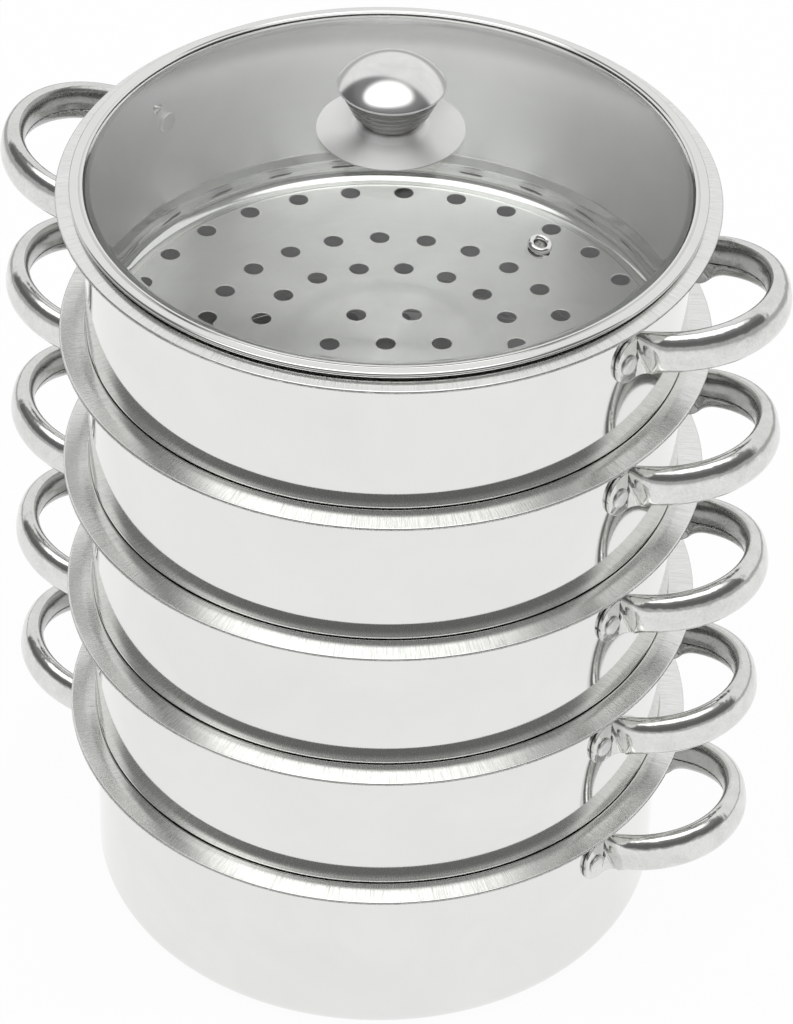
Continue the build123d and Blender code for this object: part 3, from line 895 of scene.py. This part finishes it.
def rim_band():
    """Outside from the lip up round the half-round rim to its inner edge, and back along the inside."""
    inner = rim_radius - band_cover - band_sheet
    lip_inside, lip_middle = lip_radius - band_sheet, lip_radius - band_sheet / 2
    foot_inside = foot_radius - band_sheet
    cover = ledge_top - lid_base + band_gap
    top = cover + 2 * band_sheet
    side = (top - lid_seat - slot) / 2 - 1.2 * band_hold
    outline = rounded(
        [
            (lip_middle, -lip_depth), (lip_radius, -lip_depth),
            (lip_radius, lid_seat), (foot_radius, lid_seat), (foot_radius, lid_seat + slot),
            (rim_radius, lid_seat + slot), (rim_radius, top), (inner + 3 * band_bead, top),
            (inner + 2 * band_bead, top - band_bead), (inner + 1.5 * band_bead, top), (inner, top),
            (inner, cover), (foot_inside, cover), (foot_inside, lid_seat + band_sheet),
            (lip_inside, lid_seat + band_sheet), (lip_inside, -lip_depth), (lip_middle, -lip_depth),
        ],
        [
            0.0002, 0.0003, 0.0002, 0.0001, side, side, 0.0008, 0.0001, 0.0002, 0.0004, 0.0001, 0.0002, 0.0002,
            0.0003, 0.0002,
        ],
        12,
        band_hold,
    )
    return surface("lid_rim_band_skin", [(lathe(outline + (0, lid_base)), 0)], [band_steel])


band_steel = steel("polished_band_steel", (0.80, 0.80, 0.785), 0.06, 0.12, lathe_lines, 0.1)
stand_for(rim_band(), "lid_rim_band")

# Vent eyelet
# A turned steel eyelet is set in the glass. Its collar stands above the dome as a rounded ring.

vent_outer, vent_inner, vent_neck = 0.0049, 0.0022, 0.0031
vent_proud, vent_tail, vent_tail_radius = 0.002, 0.0009, 0.0044


def vent_eyelet():
    """The eyelet's ring section turned about its own axis, then tilted to stand square on the dome."""
    half = (vent_outer - vent_inner) / 2
    turn = np.linspace(0, math.pi, 15)
    collar = np.stack([vent_inner + half * (1 + np.cos(turn)), band_gap + vent_proud * np.sin(turn)], -1)
    under = -glass_thickness - band_gap
    bore_line = rounded(
        [(vent_inner, band_gap), (vent_inner, under - vent_tail), (vent_tail_radius, under - vent_tail),
         (vent_tail_radius, under), (vent_neck, under), (vent_neck, band_gap), (vent_outer, band_gap)],
        [0.0003, 0.0003, 0, 0, 0], 5, 0.0001,
    )
    ring = lathe(np.vstack([collar, bore_line[1:]]), 72)
    lean = math.asin(vent_place / dome_radius)
    outwards, side = compass(vent_turn)
    axis = outwards * math.sin(lean) + (0, 0, math.cos(lean))
    place = axis * dome_radius + (0, 0, dome_centre)
    ring = ring @ np.array([np.cross(side, axis), side, axis]) + place
    return surface("vent_eyelet_skin", [(ring, 0)], [eyelet_steel])


eyelet_steel = steel("eyelet_steel", (0.82, 0.82, 0.81), 0.08, 0.16)
stand_for(vent_eyelet(), "vent_eyelet")

# Knob
# The knob stands on a pressed skirt with a raised boss. Its lower shell has three rolled ribs, and a
# polished cap is crimped round its rim.

skirt_radius, skirt_edge, skirt_cone = 0.0295, 0.0286, 0.0018
boss_radius, boss_slope, boss_rise = 0.0152, 0.0016, 0.0023
skirt_dish, dish_round = 0.0001, 0.04
part_sheet = 0.0008
screw_hole = 0.0027
cup_neck, cup_neck_height, cup_foot, cup_rim, cup_height = 0.0122, 0.0038, 0.0146, 0.0206, 0.0127
rib_count, rib_depth, rib_share = 3, 0.0006, 0.72
cap_radius, cap_height, cap_edge = 0.0215, 0.011, 0.001
knob_turns = 180


def knob_part(name, outline, metal):
    """A turned part of the knob, whose outline is drawn upwards from the flange under the lid."""
    return surface(name, [(lathe(outline + (0, lid_base), knob_turns), 0)], [metal])


def knob_skirt():
    """A shallow dished ring that rises to the boss, drawn as one skin over and under the sheet."""
    foot = skirt_edge + skirt_cone
    top = foot + boss_rise
    shoulder = (boss_radius + skirt_radius) / 2
    outline = rounded(
        [
            (screw_hole, top - part_sheet),
            (boss_radius - boss_slope - part_sheet / 2, top - part_sheet),
            (boss_radius - part_sheet / 2, foot - part_sheet),
            (shoulder, foot - part_sheet - skirt_dish), (skirt_radius, skirt_edge - part_sheet),
            (skirt_radius, skirt_edge), (shoulder, foot - skirt_dish), (boss_radius, foot),
            (boss_radius - boss_slope, top), (screw_hole, top), (screw_hole, top - part_sheet),
        ],
        [0.001, 0.001, dish_round, 0.00035, 0.00035, dish_round, 0.0012, 0.0012, 0],
        8,
        0.0001,
    )
    return knob_part("knob_skirt_skin", outline, skirt_steel)


# Lighter than the other steel: the satin finish is real, and the raised colour is painted light that brightens
# the skirt.
skirt_steel = steel("satin_skirt_steel", (0.95, 0.95, 0.94), 0.50, 0.60, lathe_lines, 0.10, brushed=0.25,
                    Anisotropic=0.92)
stand_for(knob_skirt(), "knob_skirt")
neck_bottom = skirt_edge + skirt_cone + boss_rise + band_gap
cup_bottom = neck_bottom + cup_neck_height
cup_top = cup_bottom + cup_height


def knob_cup():
    """Neck, foot and flared side. Ribs stand out from the side by depth x |sin(pi x count x share)|^0.8."""
    share = np.linspace(0, rib_share, rib_count * 16 + 1)
    side = np.array([cup_rim - cup_foot, cup_height])
    outwards = np.array([side[1], -side[0]]) / np.linalg.norm(side)
    swell = rib_depth * np.abs(np.sin(math.pi * share / rib_share * rib_count)) ** 0.8
    ribs = np.array([cup_foot, cup_bottom]) + share[:, None] * side + swell[:, None] * outwards
    neck = rounded(
        [(screw_hole, neck_bottom), (cup_neck, neck_bottom), (cup_neck, cup_bottom), (cup_foot, cup_bottom)],
        [0.0003, 0.0003], 5, 0.0001,
    )
    neck_inside = cup_neck - part_sheet
    neck_floor, cup_floor = neck_bottom + part_sheet, cup_bottom + part_sheet
    inside = rounded(
        [
            (cup_rim, cup_top), (cup_rim - part_sheet, cup_top), (cup_foot - part_sheet / 2, cup_floor),
            (neck_inside, cup_floor), (neck_inside, neck_floor), (screw_hole, neck_floor),
            (screw_hole, neck_bottom),
        ],
        [0, 0, 0, 0, 0], 4, 0.0001,
    )
    outline = np.vstack([neck, ribs[1:], inside])
    return knob_part("knob_cup_skin", outline, cup_steel)


cup_steel = steel("ribbed_cup_steel", (0.37, 0.37, 0.36), 0.16, 0.24)
stand_for(knob_cup(), "knob_cup")


def cap_arc(wide, high, base, count):
    """Part of a sphere from its rim up to its crown: (r sin a, base + high + r (cos a - 1)), where
    r = (wide^2 + high^2) / (2 high)."""
    ball = (wide**2 + high**2) / (2 * high)
    turn = np.linspace(math.asin(wide / ball), 0, count)
    return np.stack([ball * np.sin(turn), base + high + ball * (np.cos(turn) - 1)], -1)


def knob_cap():
    """The cap is part of a sphere, with a small round at its rim and a crimped edge below it."""
    base = cup_top + band_gap
    over = cap_arc(cap_radius, cap_height, base, 60)
    under = cap_arc(cap_radius - part_sheet, cap_height - part_sheet, base, 12)[::-1]
    roll = np.linspace(-math.pi / 2, math.atan2(cap_height, cap_radius), 9)
    half = cap_edge / 2
    edge = np.stack([cap_radius - half + half * np.cos(roll), base - half + half * np.sin(roll)], -1)
    outline = np.vstack([under, [(cap_radius - part_sheet, base - cap_edge)], edge, over])
    return knob_part("knob_cap_skin", outline, cap_steel)


cap_steel = steel("mirror_cap_steel", (0.82, 0.82, 0.81), 0.12, 0.20, cloud=70, cloud_tint=0.14)
stand_for(knob_cap(), "knob_dome")

# Fasteners of the knob
# A pan head screw comes up through a washer, a silicone gasket and the glass into a nut in the knob.
# A second gasket lies between the glass and the skirt.

fastener_steel = steel("fastener_steel", (0.70, 0.70, 0.69), 0.22, 0.35)


def silicone_material():
    """Pale translucent silicone: dull, with a faint mottle."""
    material, tree, base = new_material("gasket_silicone")
    marks = new_node(tree, "Group", node_tree=handling_marks).outputs["Marks"]
    link(tree, mix_colour(tree, marks, (0.80, 0.80, 0.78), (0.70, 0.70, 0.68)), base.inputs["Base Color"])
    link(tree, remap(tree, marks, To_Min=0.45, To_Max=0.6), base.inputs["Roughness"])
    return material


silicone = silicone_material()
for node, material in (
    ("knob_screw", fastener_steel), ("knob_nut", fastener_steel), ("knob_washer", fastener_steel),
    ("knob_gasket_upper", silicone), ("knob_gasket_lower", silicone),
):
    nodes[node].data.materials.clear()
    nodes[node].data.materials.append(material)

# Studio
# A pale floor that runs up into a white backdrop behind the pot, a dim room in front and above, and
# one large soft lamp overhead.

view_turn = math.radians(21.05)
painted_light_pool, far_floor = (0.75, 1.9), 0.5    # the painted pool of light keeps the floor white out to the first radius
own_light = 0.95                            # share of the floor's white that is its own
floor_reach = 6.0
white_wall, lamp_glow = 0.92, 1.9
room_low, room_high, room_rise = 0.15, 0.24, (0.40, 0.64)
wall_edge, wall_lean = (0.15, 0.29), 0.3    # how far behind the pot the white wall starts, and its turn
lamp_side, lamp_front = -0.16, 0.38         # the lamp's middle, for a height of one
lamp_half_width, lamp_half_depth, lamp_fade = 0.90, 0.50, 0.30
horizon = (0.0, 0.12)                       # the floor's tone eases into the room between these heights


def floor_material():
    """Matt board with a painted pool of light: white round the pot, fading to paler grey far off. Part of the
    white is its own, so that shadows stay soft."""
    material, tree, base = new_material("studio_floor")
    base.inputs["Roughness"].default_value = 0.9
    base.inputs["Specular IOR Level"].default_value = 0.0
    away = new_node(tree, "VectorMath", operation="LENGTH")
    link(tree, new_node(tree, "TexCoord").outputs["Object"], away.inputs[0])
    tone = remap(tree, away.outputs["Value"], interpolation_type="SMOOTHSTEP", From_Min=painted_light_pool[0],
                 From_Max=painted_light_pool[1], To_Min=1.0, To_Max=far_floor)
    noise = new_node(tree, "TexNoise", Scale=6.0, Detail=3.0)
    mottle = math_node(tree, "MULTIPLY", tone, blend(tree, 0.99, 0.97, noise.outputs[0]))
    link(tree, mottle, base.inputs["Base Color"])
    glow = new_node(tree, "Emission", Strength=1.0)
    link(tree, tone, glow.inputs["Color"])
    path = new_node(tree, "LightPath").outputs
    seen = math_node(tree, "MAXIMUM", path["Is Glossy Ray"], path["Is Transmission Ray"])
    seen = math_node(tree, "MAXIMUM", path["Is Camera Ray"], seen)
    mix_shaders(tree, math_node(tree, "MULTIPLY", seen, own_light), base.outputs[0], glow.outputs[0])
    return material


floor_rows = np.array([[(-1, -1, 0), (1, -1, 0)], [(-1, 1, 0), (1, 1, 0)]], float) * floor_reach
floor = surface("studio_floor", [(floor_rows, 0)], [floor_material()])


def studio_way(side, behind, up=0):
    """A direction given by the camera's right, the way behind the object, and up."""
    return (
        side * math.cos(view_turn) - behind * math.sin(view_turn),
        side * math.sin(view_turn) + behind * math.cos(view_turn),
        up,
    )


def share_along(tree, way, direction):
    """How far a direction runs along another one."""
    node = new_node(tree, "VectorMath", operation="DOT_PRODUCT")
    node.inputs[1].default_value = direction
    link(tree, way, node.inputs[0])
    return node.outputs["Value"]


def ease(tree, value, start, end):
    """0 before the start and 1 after the end, with a smooth step between them."""
    return remap(tree, value, interpolation_type="SMOOTHSTEP", From_Min=start, From_Max=end)


def studio_light(sky):
    """Brightness of the studio in each direction: white low down and behind, lamp overhead, else dim."""
    way = new_node(sky, "TexCoord").outputs["Generated"]
    side = share_along(sky, way, studio_way(1, 0))
    behind = share_along(sky, way, studio_way(0, 1))
    up = share_along(sky, way, (0, 0, 1))
    wall = ease(sky, math_node(sky, "ADD", behind, math_node(sky, "MULTIPLY", side, wall_lean)), *wall_edge)
    dim = blend(sky, room_low, room_high, ease(sky, up, *room_rise))
    room = blend(sky, dim, white_wall, wall)
    height = math_node(sky, "MAXIMUM", up, 0.01)
    across = math_node(sky, "SUBTRACT", math_node(sky, "DIVIDE", side, height), lamp_side)
    ahead = math_node(sky, "ADD", math_node(sky, "DIVIDE", behind, height), lamp_front)
    oval = hypotenuse(sky, math_node(sky, "DIVIDE", across, lamp_half_width),
                      math_node(sky, "DIVIDE", ahead, lamp_half_depth))
    lamp = math_node(sky, "MULTIPLY", ease(sky, oval, 1 + lamp_fade, 1 - lamp_fade), lamp_glow)
    return blend(sky, far_floor, math_node(sky, "MAXIMUM", room, lamp), ease(sky, up, *horizon))


world = bpy.data.worlds.new("studio")
bpy.context.scene.world = world
world.use_nodes = True
sky = world.node_tree
link(sky, studio_light(sky), sky.nodes["Background"].inputs["Color"])

# Camera
# It looks down on the pot from the right of its front, a little turned about its own axis.

view_height = math.radians(38.9486)
view_roll = math.radians(1.4675)
view_distance = 1.8988165
view_shift = (0.0054872, -0.0262615)
focal_pixels, frame_height, sensor = 4560.28, 1024, 36.0
target = Vector((0, 0, flange_top["pot"] + 2 * (flange_top["steamer_1"] - flange_top["pot"])))
back = Vector(studio_way(0, -math.cos(view_height), math.sin(view_height)))
level = Vector(studio_way(1, 0))
above = back.cross(level)
right = level * math.cos(view_roll) + above * math.sin(view_roll)
up = above * math.cos(view_roll) - level * math.sin(view_roll)
lens = bpy.data.cameras.new("camera")
lens.sensor_fit = "VERTICAL"
lens.sensor_height = sensor
lens.lens = focal_pixels * sensor / frame_height
camera = bpy.data.objects.new("camera", lens)
camera.matrix_world = Matrix((right, up, back)).transposed().to_4x4()
camera.location = target + back * view_distance + right * view_shift[0] + up * view_shift[1]
bpy.context.scene.collection.objects.link(camera)
bpy.context.scene.camera = camera
bpy.context.scene.view_settings.view_transform = "Standard"
